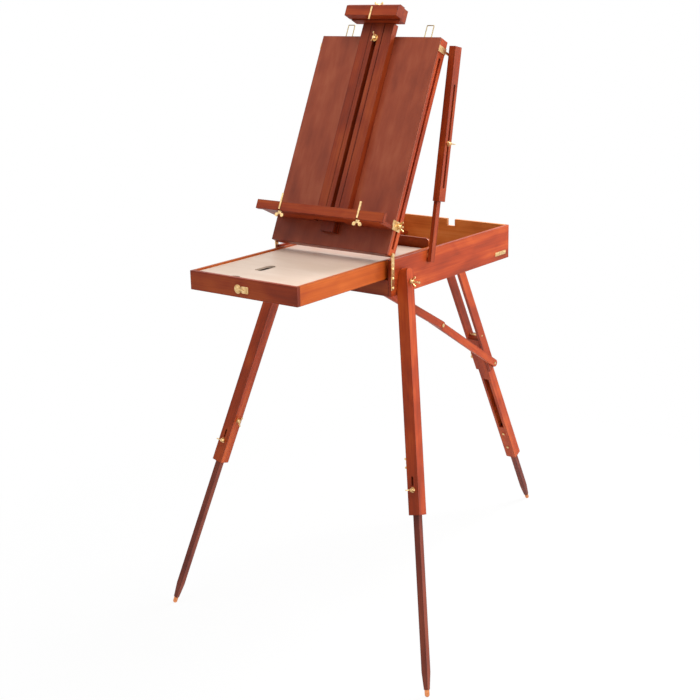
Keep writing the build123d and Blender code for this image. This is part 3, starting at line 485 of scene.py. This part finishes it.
# the knob's middle stands this far in from the toggle's left end
KNOB_INSET = 9.0
LEVER_WIDTH = 4.0
LEVER_HEIGHTS = (2.45, 3.6)
KEEPER = rounded(21.4, 17.0, 2.5, middle=(9.3, 0.0))
KEEPER_THICK = 1.5
KEEPER_SCREWS = tuple((along, up) for along in (0.9, 17.8) for up in (-6.4, 6.4))
BOSS = rounded(11.0, 11.0, 1.5, middle=(9.5, 0.0))
BOSS_HEIGHTS = (1.4, 2.4)
TAG_THICK = 0.9
TAG_FROM_BACK = 44
TAG_FROM_FLOOR = 19
TAG_SCREW_INSET = 3


def latch_seat():
    """The middle of the latch's seat on the drawer front, X to the right and Z outwards."""
    low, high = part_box("latch_plate")
    return place_at(((low.x + high.x) / 2, high.y, (low.z + high.z) / 2), (1, 0, 0), (0, -1, 0))


def tag_seat():
    """The middle of the blank plate's seat, low at the back of the right wall."""
    low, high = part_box("box_right_wall")
    place = (high.x, high.y - TAG_FROM_BACK * MM, low.z + TAG_FROM_FLOOR * MM)
    return place_at(place, (0, 1, 0), (1, 0, 0))


# ---------------------------------------------------------------- screw heads
STRAP_SCREWS = 3


def screw_tree():
    """Geometry Nodes: a domed, slotted head on each point, facing the way the point says."""
    tree = bpy.data.node_groups.new("screw_heads", "GeometryNodeTree")
    for name, kind, start in (
        ("Geometry", "Geometry", None),
        ("Head height", "Float", 0.7),
        ("Slot width", "Float", 0.26),
        ("Seed", "Int", 7),
        ("Metal", "Material", None),
    ):
        given = tree.interface.new_socket(name, in_out="INPUT", socket_type=f"NodeSocket{kind}")
        if start is not None:
            given.default_value = start
    tree.interface.new_socket("Geometry", in_out="OUTPUT", socket_type="NodeSocketGeometry")
    given = add_node(tree, "NodeGroupInput").outputs
    # a head of radius 1, scaled at its point
    tall = given["Head height"]
    ball = add_node(tree, "GeometryNodeMeshUVSphere", {"Segments": 20, "Rings": 10, "Radius": 1.0})
    flat = add_node(tree, "ShaderNodeCombineXYZ", {"X": 1.0, "Y": 1.0, "Z": tall})
    dome = add_node(tree, "GeometryNodeTransform", {"Geometry": ball, "Scale": flat})
    # its slot, cut right across by a bar that reaches down to six tenths of its height
    long = add_node(tree, "ShaderNodeCombineXYZ", {"X": 3.0, "Y": given["Slot width"], "Z": tall})
    bar = add_node(tree, "GeometryNodeMeshCube", {"Size": long})
    lift = add_node(tree, "ShaderNodeMath", {0: tall, 1: 1.1}, operation="MULTIPLY")
    above = add_node(tree, "ShaderNodeCombineXYZ", {"Z": lift})
    cutter = add_node(tree, "GeometryNodeTransform", {"Geometry": bar, "Translation": above})
    parts = {"Mesh 1": dome, "Mesh 2": cutter}
    head = add_node(tree, "GeometryNodeMeshBoolean", parts, operation="DIFFERENCE")
    facing = add_node(tree, "GeometryNodeInputNamedAttribute", {"Name": "facing"}, data_type="FLOAT_VECTOR")
    size = add_node(tree, "GeometryNodeInputNamedAttribute", {"Name": "size"}, data_type="FLOAT")
    turn = add_node(tree, "FunctionNodeAlignRotationToVector", {"Vector": facing}, axis="Z")
    dots = add_node(tree, "GeometryNodeMeshToPoints", {"Mesh": given["Geometry"]})
    heads = add_node(
        tree,
        "GeometryNodeInstanceOnPoints",
        {"Points": dots, "Instance": head, "Rotation": turn, "Scale": size},
    )
    # each screw was driven home at its own angle
    between = {2: 0.0, 3: pi, "Seed": given["Seed"]}
    angle = add_node(tree, "FunctionNodeRandomValue", between, data_type="FLOAT")
    spin = add_node(tree, "FunctionNodeAxisAngleToRotation", {"Axis": (0, 0, 1), "Angle": angle})
    heads = add_node(tree, "GeometryNodeRotateInstances", {"Instances": heads, "Rotation": spin})
    solid = add_node(tree, "GeometryNodeRealizeInstances", {"Geometry": heads})
    metal = add_node(tree, "GeometryNodeSetMaterial", {"Geometry": solid, "Material": given["Metal"]})
    add_node(tree, "NodeGroupOutput", {"Geometry": metal})
    return tree


def screw_heads(name, tree, heads, body):
    """Brass screw heads on one body, from their places, the ways they face and their radii in millimetres."""
    mesh = bpy.data.meshes.new(name)
    mesh.from_pydata([place for place, way, radius in heads], [], [])
    mesh.attributes.new("facing", "FLOAT_VECTOR", "POINT")
    mesh.attributes.new("size", "FLOAT", "POINT")
    for index, (place, way, radius) in enumerate(heads):
        mesh.attributes["facing"].data[index].vector = way
        mesh.attributes["size"].data[index].value = radius * MM
    piece = bpy.data.objects.new(name, mesh)
    bpy.context.scene.collection.objects.link(piece)
    modifier = piece.modifiers.new("screw heads", "NODES")
    modifier.node_group = tree
    for item in tree.interface.items_tree:
        if item.item_type == "SOCKET" and item.in_out == "INPUT" and item.name == "Metal":
            modifier[item.identifier] = bpy.data.materials["polished_brass"]
    depsgraph = bpy.context.evaluated_depsgraph_get()
    plain_mesh = bpy.data.meshes.new_from_object(piece.evaluated_get(depsgraph), depsgraph=depsgraph)
    piece.modifiers.clear()
    piece.data = plain_mesh
    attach(piece, body)


# ---------------------------------------------------------------- stage
FLOOR_HALF = 8.0
MIDDLE = (0.0, 0.0, 0.9)
# each softbox's place, the point it is aimed at and its side, in metres
SOFTBOXES = {
    "key": ((3.6, 0.3, 1.9), MIDDLE, 2.4),
    "top": ((0.5, -1.1, 3.9), MIDDLE, 2.0),
    "back": ((1.0, 2.3, 3.0), (0.1, -0.1, 0.95), 1.6),
    "front": ((-1.8, -2.1, 2.9), (0.0, -0.2, 1.3), 1.4),
}


def backdrop_mask(tree):
    """1 for what the camera, gloss and glass show, 0 for the light that falls on the easel."""
    path = add_node(tree, "ShaderNodeLightPath").outputs
    rays = {0: path["Is Camera Ray"], 1: path["Is Glossy Ray"]}
    seen = add_node(tree, "ShaderNodeMath", rays, operation="MAXIMUM")
    rays = {0: seen, 1: path["Is Transmission Ray"]}
    return add_node(tree, "ShaderNodeMath", rays, operation="MAXIMUM")


def studio_floor():
    """Pale floor that stays white and keeps a faint shadow under the easel."""
    material, tree = new_material("studio_floor")
    place = add_node(tree, "ShaderNodeTexCoord").outputs["Object"]
    away = add_node(tree, "ShaderNodeVectorMath", {0: place}, operation="LENGTH")
    # a shade off white within 0.8 m, plain white from 1.5 m out
    spread = add_node(tree, "ShaderNodeMapRange", {"Value": away, "From Min": 0.8, "From Max": 1.5})
    white = weighed_sum(tree, 0.92, (spread, 0.08))
    share = add_node(tree, "ShaderNodeMath", {0: backdrop_mask(tree), 1: white}, operation="MULTIPLY")
    paint = add_node(tree, "ShaderNodeBsdfDiffuse", {"Color": linear("#f4f4f4")})
    glow = add_node(tree, "ShaderNodeEmission", {"Color": (1, 1, 1, 1), "Strength": 1.0})
    finish_material(tree, add_node(tree, "ShaderNodeMixShader", {0: share, 1: paint, 2: glow}))
    return material


def studio_world(level):
    """White behind the easel, and an even light of the given level on it."""
    world = bpy.data.worlds.new("studio")
    world.use_nodes = True
    tree = world.node_tree
    tree.nodes.clear()
    light = add_node(tree, "ShaderNodeBackground", {"Color": (1, 1, 1, 1), "Strength": level})
    white = add_node(tree, "ShaderNodeBackground", {"Color": (1, 1, 1, 1), "Strength": 1.0})
    both = add_node(tree, "ShaderNodeMixShader", {0: backdrop_mask(tree), 1: light, 2: white})
    add_node(tree, "ShaderNodeOutputWorld", {"Surface": both})
    bpy.context.scene.world = world


def softbox(name, place, target, size, power):
    """A square soft light aimed at a point."""
    lamp = bpy.data.lights.new(name, "AREA")
    lamp.shape = "SQUARE"
    lamp.size = size
    lamp.energy = power
    holder = bpy.data.objects.new(name, lamp)
    holder.location = place
    holder.rotation_euler = (Vector(target) - Vector(place)).to_track_quat("-Z", "Y").to_euler()
    bpy.context.scene.collection.objects.link(holder)


# ---------------------------------------------------------------- settings
class WoodSettings(bpy.types.PropertyGroup):
    """Tones of the easel's boards, as sRGB hex values"""

    dark: bpy.props.StringProperty(name="Dark stain", description="Darkest grain", default="#74250a")
    middle: bpy.props.StringProperty(name="Stain", description="Most of a board", default="#a43a12")
    light: bpy.props.StringProperty(name="Light stain", description="Palest grain", default="#c65822")


class BrassSettings(bpy.types.PropertyGroup):
    """Colours and sizes of the small metal pieces, in millimetres"""

    colour: bpy.props.StringProperty(
        name="Brass", description="Polished brass, sRGB hex", default="#f0cf98"
    )
    aged: bpy.props.StringProperty(
        name="Aged brass", description="Wire of the bails, sRGB hex", default="#a08c58"
    )
    point: bpy.props.StringProperty(
        name="Points", description="Plated points of the legs, sRGB hex", default="#ea9a68"
    )
    washer: bpy.props.FloatProperty(
        name="Washer", description="Radius under a wing nut", default=6.6
    )
    wing_thick: bpy.props.FloatProperty(
        name="Wing", description="Thickness of a wing", default=2.4
    )
    strap_screw: bpy.props.FloatProperty(
        name="Strap screw", description="Radius of a screw head on a strap", default=4.0
    )
    small_screw: bpy.props.FloatProperty(
        name="Small screw", description="Radius of a screw head on the latch or the tag", default=1.3
    )
    tag_length: bpy.props.FloatProperty(
        name="Tag length", description="Length of the blank plate on the box", default=55.0
    )
    tag_height: bpy.props.FloatProperty(
        name="Tag height", description="Height of the blank plate on the box", default=11.0
    )


class StageSettings(bpy.types.PropertyGroup):
    """Camera and lights"""

    camera_place: bpy.props.FloatVectorProperty(
        name="Camera",
        description="Where the camera stands",
        default=(2.0096, -2.8517, 1.6837),
        subtype="TRANSLATION",
    )
    azimuth: bpy.props.FloatProperty(
        name="Azimuth",
        description="Turn of the view round the easel",
        default=radians(37.907),
        subtype="ANGLE",
    )
    pitch: bpy.props.FloatProperty(
        name="Pitch", description="How far the camera looks down", default=radians(16.037), subtype="ANGLE"
    )
    roll: bpy.props.FloatProperty(
        name="Roll", description="Tilt of the camera", default=radians(-1.272), subtype="ANGLE"
    )
    lens: bpy.props.FloatProperty(
        name="Lens", description="Focal length on a 36 mm sensor", default=66.47, subtype="DISTANCE_CAMERA"
    )
    room_light: bpy.props.FloatProperty(
        name="Room light", description="Even light on the easel", default=0.25
    )
    key_power: bpy.props.FloatProperty(
        name="Key light", description="Softbox on the right", default=86.0, subtype="POWER"
    )
    top_power: bpy.props.FloatProperty(
        name="Top light", description="Softbox overhead", default=58.0, subtype="POWER"
    )
    back_power: bpy.props.FloatProperty(
        name="Back light", description="Softbox behind, high on the right", default=120.0, subtype="POWER"
    )
    front_power: bpy.props.FloatProperty(
        name="Front light", description="Softbox on the left, high in front", default=4.0, subtype="POWER"
    )


# ---------------------------------------------------------------- operators
def joint_axis(name):
    """A joint's axis in the easel's frame."""
    for joint in frame["joints"]:
        if joint["name"] == name:
            return Vector(joint["axis"]).normalized()
    raise ValueError(f"the record has no joint named {name}")


class EASEL_OT_boards(bpy.types.Operator):
    """Stain every board, with the grain along its length"""

    bl_idname = "easel.boards"
    bl_label = "Boards"

    def execute(self, context):
        wood = context.scene.easel_wood
        tones = (wood.dark, wood.middle, wood.light)
        across, back = (1, 0, 0), (0, 1, 0)
        up_lid = joint_axis("mast_slide")
        sleeve = joint_axis("arm_sleeve_left_slide")
        arms = ("arm_bar_left", "arm_bar_right", "arm_sleeve_left", "arm_sleeve_right")
        # each kind's grain, the share of the tones it keeps, which paints shade on boards that lie in shadow
        # or face away from the lamps, and its boards
        boards = {
            "depth": (back, 1.0, ("box_left_wall", "box_right_wall", "drawer_runners")),
            "lid": (up_lid, 1.0, ("lid_frame",)),
            "left_leg": (joint_axis("leg_left_foot_slide"), 1.0, ("leg_left_upper",)),
            "right_leg": (joint_axis("leg_right_foot_slide"), 1.0, ("leg_right_upper",)),
            "rear_leg": (joint_axis("rear_foot_slide"), 1.0, ("rear_fork", "rear_core")),
            "width": (across, 0.85, ("drawer_front", "ledge", "top_clamp", "rear_hinge_block")),
            # painted shadow: the front rail, under the lid and above the drawer, keeps only 0.6 of the tones
            "rail": (across, 0.6, ("box_front_rail",)),
            "mast": (up_lid, 0.68, ("mast_bar", "mast_guides")),
            "arm": (sleeve, 0.75, arms),
        }
        for kind, (grain, share, nodes) in boards.items():
            dress(nodes, stained_beech(f"stained_beech_{kind}", grain, tones, share=share))
        feet = {"leg_left_lower": "leg_left", "leg_right_lower": "leg_right", "rear_lower": "rear"}
        foot_tones = ("#521c12", "#743020", "#8e422c")
        for node, leg in feet.items():
            grain = joint_axis(f"{leg}_foot_slide")
            dress((node,), stained_beech(f"stained_beech_{node}", grain, foot_tones))
        for node in ("strut_upper", "strut_lower"):
            low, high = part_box(node)
            grain = (0, high.y - low.y, low.z - high.z)
            dress((node,), stained_beech(f"stained_beech_{node}", grain, tones))
        veneer = ("#7c3420", "#98452b", "#aa583a")
        dress(("lid_panel",), stained_beech("stained_ply_lid", up_lid, veneer, stripes=0.35, length=120.0))
        oiled = ("#c0682c", "#de8a44", "#eaa05a")
        back_wall = stained_beech("oiled_beech_back", across, oiled, sheen=0.05, outside=(back, tones))
        dress(("box_back_wall",), back_wall)
        drawer = ("#9c3a0e", "#b85212", "#d06a24")
        dress(("drawer_walls",), stained_beech("stained_beech_drawer", back, drawer))
        return {"FINISHED"}


class EASEL_OT_plywood(bpy.types.Operator):
    """Finish the palette and the thin plywood floors"""

    bl_idname = "easel.plywood"
    bl_label = "Plywood"

    def execute(self, context):
        across, back = (1, 0, 0), (0, 1, 0)
        palette = birch_ply("birch_ply_palette", across, ("#dcc2ac", "#ead5c3", "#a8815c"), sheen=0.2)
        dress(("palette",), palette)
        dress(("box_floor",), birch_ply("birch_ply_floor", back, ("#b98a5c", "#cfa478", "#8f6238")))
        # painted shade: the drawer's floor gets dark tones for the shadowed inside of the drawer, seen
        # through the palette's hole
        dress(("drawer_tray",), birch_ply("birch_ply_tray", back, ("#6a4428", "#80563a", "#54341e")))
        return {"FINISHED"}


class EASEL_OT_brasswork(bpy.types.Operator):
    """Polish the brass fittings"""

    bl_idname = "easel.brasswork"
    bl_label = "Brasswork"

    def execute(self, context):
        sizes = context.scene.easel_brass
        brass = polished_brass("polished_brass", sizes.colour, 0.3)
        dress([name for name, node in frame["nodes"].items() if is_brass(node)], brass)
        dress(("bail_left", "bail_right"), polished_brass("aged_brass", sizes.aged, 0.4))
        return {"FINISHED"}


def is_brass(node):
    """Whether a CAD node came with the record's brass."""
    return any(slot and slot.name.startswith("brass") for slot in node.data.materials)


class EASEL_OT_wing_nuts(bpy.types.Operator):
    """Cast a wing nut for each one that turns, and the fixed one on the mast"""

    bl_idname = "easel.wing_nuts"
    bl_label = "Wing nuts"

    def execute(self, context):
        sizes = context.scene.easel_brass
        quarter = Matrix.Rotation(pi / 2, 4, "Z")
        nuts = []
        for joint in frame["joints"]:
            if "_nut_" in joint["name"] or "_screw_" in joint["name"]:
                nuts.append((node_of(joint["child"]), Vector(joint["pos_m"]), Vector(joint["axis"])))
        fixed = frame["nodes"]["mast_brasses"]
        centre = sum((corner.co for corner in fixed.data.vertices), Vector()) / len(fixed.data.vertices)
        nuts.append((fixed, centre, joint_axis("mast_slide")))
        for node, origin, axis in nuts:
            place, shank, bore, foot = nut_seat(node, origin, axis.normalized())
            # these were last left a quarter turn from the way the CAD draws them
            if node.name.startswith("arm") or "front_screw" in node.name:
                place = place @ quarter
            shape = bmesh.new()
            wing_nut(shape, place, shank, bore, max(sizes.washer, foot), sizes.wing_thick)
            brass_piece(f"{node.name}_cast", shape, body_of(node)[0], stands_for=(node.name,))
        return {"FINISHED"}


class EASEL_OT_latch(bpy.types.Operator):
    """Build the turn latch on the drawer front"""

    bl_idname = "easel.latch"
    bl_label = "Latch"

    def execute(self, context):
        low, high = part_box("latch_plate")
        left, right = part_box("latch_toggle")
        seat = latch_seat()
        along = (left.x - (low.x + high.x) / 2) / MM + KNOB_INSET
        knob = seat @ Matrix.Translation((along * MM, 0, 0))
        keeper = bmesh.new()
        turned(keeper, knob, LATCH_DISC, steps=36)
        plate(keeper, seat, KEEPER, (0.0, KEEPER_THICK), ease=0.4)
        plate(keeper, seat, BOSS, BOSS_HEIGHTS, ease=0.4)
        brass_piece("latch_keeper", keeper, carrier("latch_plate"), stands_for=("latch_plate",))
        toggle = bmesh.new()
        turned(toggle, knob, LATCH_KNOB, steps=36)
        reach = (right.x - left.x) / MM - KNOB_INSET
        lever = rounded(reach, LEVER_WIDTH, 1.9, middle=(reach / 2, 0.0))
        plate(toggle, knob, lever, LEVER_HEIGHTS, ease=0.3)
        brass_piece("latch_knob", toggle, carrier("latch_toggle"), stands_for=("latch_toggle",))
        return {"FINISHED"}


class EASEL_OT_tag(bpy.types.Operator):
    """Fix the blank plate to the box's right wall"""

    bl_idname = "easel.tag"
    bl_label = "Blank plate"

    def execute(self, context):
        sizes = context.scene.easel_brass
        shape = bmesh.new()
        outline = rounded(sizes.tag_length, sizes.tag_height, 1.5)
        plate(shape, tag_seat(), outline, (0.0, TAG_THICK), ease=0.25)
        brass_piece("blank_plate", shape, carrier("box_right_wall"))
        return {"FINISHED"}


class EASEL_OT_screws(bpy.types.Operator):
    """Drive the screws of the straps, the latch and the blank plate"""

    bl_idname = "easel.screws"
    bl_label = "Screws"

    def execute(self, context):
        sizes = context.scene.easel_brass
        tree = screw_tree()
        low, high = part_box("lid_straps")
        width = high.y - low.y
        heads = []
        for side in (-1, 1):
            for step in range(STRAP_SCREWS):
                # the first half a strap's width up, the others two widths apart
                place = (side * high.x, (low.y + high.y) / 2, low.z + width * (0.5 + 2 * step))
                heads.append((place, (side, 0, 0), sizes.strap_screw))
        for end in (-1, 1):
            along = end * (sizes.tag_length / 2 - TAG_SCREW_INSET)
            place = tag_seat() @ (Vector((along, 0, TAG_THICK)) * MM)
            heads.append((place, (1, 0, 0), sizes.small_screw))
        screw_heads("box_screw_heads", tree, heads, carrier("lid_straps"))
        heads = []
        for along, up in KEEPER_SCREWS:
            place = latch_seat() @ (Vector((along, up, KEEPER_THICK)) * MM)
            heads.append((place, (0, -1, 0), sizes.small_screw))
        screw_heads("latch_screw_heads", tree, heads, carrier("latch_plate"))
        return {"FINISHED"}


class EASEL_OT_tips(bpy.types.Operator):
    """Finish the plated points of the three legs"""

    bl_idname = "easel.tips"
    bl_label = "Leg tips"

    def execute(self, context):
        points = polished_brass("plated_points", context.scene.easel_brass.point, 0.35)
        dress(("leg_left_tip", "leg_right_tip", "rear_tip"), points)
        return {"FINISHED"}


class EASEL_OT_stage(bpy.types.Operator):
    """Build the floor, the lights and the camera"""

    bl_idname = "easel.stage"
    bl_label = "Stage"

    def execute(self, context):
        stage = context.scene.easel_stage
        mesh = bpy.data.meshes.new("studio_floor")
        corners = [(-1, -1), (1, -1), (1, 1), (-1, 1)]
        mesh.from_pydata([(x * FLOOR_HALF, y * FLOOR_HALF, 0) for x, y in corners], [], [(0, 1, 2, 3)])
        mesh.materials.append(studio_floor())
        floor = bpy.data.objects.new("studio_floor", mesh)
        context.scene.collection.objects.link(floor)
        studio_world(stage.room_light)
        for name, (place, target, size) in SOFTBOXES.items():
            softbox(f"{name}_light", place, target, size, getattr(stage, f"{name}_power"))
        camera = bpy.data.cameras.new("camera")
        camera.lens = stage.lens
        camera.sensor_width = 36.0
        holder = bpy.data.objects.new("camera", camera)
        turn, down, roll = stage.azimuth, stage.pitch, stage.roll
        ahead = Vector((-sin(turn) * cos(down), cos(turn) * cos(down), -sin(down)))
        level = Vector((cos(turn), sin(turn), 0))
        up = level.cross(ahead)
        right = level * cos(roll) + up * sin(roll)
        top = up * cos(roll) - level * sin(roll)
        axes = Matrix((right, top, -ahead)).transposed()
        holder.matrix_world = Matrix.Translation(stage.camera_place) @ axes.to_4x4()
        context.scene.collection.objects.link(holder)
        context.scene.camera = holder
        context.scene.view_settings.view_transform = "Standard"
        return {"FINISHED"}


OPERATORS = (
    EASEL_OT_boards,
    EASEL_OT_plywood,
    EASEL_OT_brasswork,
    EASEL_OT_wing_nuts,
    EASEL_OT_latch,
    EASEL_OT_tag,
    EASEL_OT_screws,
    EASEL_OT_tips,
    EASEL_OT_stage,
)


class EASEL_PT_panel(bpy.types.Panel):
    """Lists the steps that dress the easel"""

    bl_idname = "EASEL_PT_panel"
    bl_label = "Sketch-box easel"
    bl_space_type = "VIEW_3D"
    bl_region_type = "UI"
    bl_category = "Easel"

    def draw(self, context):
        for operator in OPERATORS:
            self.layout.operator(operator.bl_idname)


SETTINGS = {"easel_wood": WoodSettings, "easel_brass": BrassSettings, "easel_stage": StageSettings}
CLASSES = tuple(SETTINGS.values()) + OPERATORS + (EASEL_PT_panel,)


def register():
    for cls in CLASSES:
        bpy.utils.register_class(cls)
    for name, cls in SETTINGS.items():
        setattr(bpy.types.Scene, name, bpy.props.PointerProperty(type=cls))


def unregister():
    for name in SETTINGS:
        delattr(bpy.types.Scene, name)
    for cls in reversed(CLASSES):
        bpy.utils.unregister_class(cls)


def main():
    """Dresses the easel, step by step."""
    register()
    for operator in OPERATORS:
        group, step = operator.bl_idname.split(".")
        getattr(getattr(bpy.ops, group), step)()


if __name__ == "__main__":
    main()
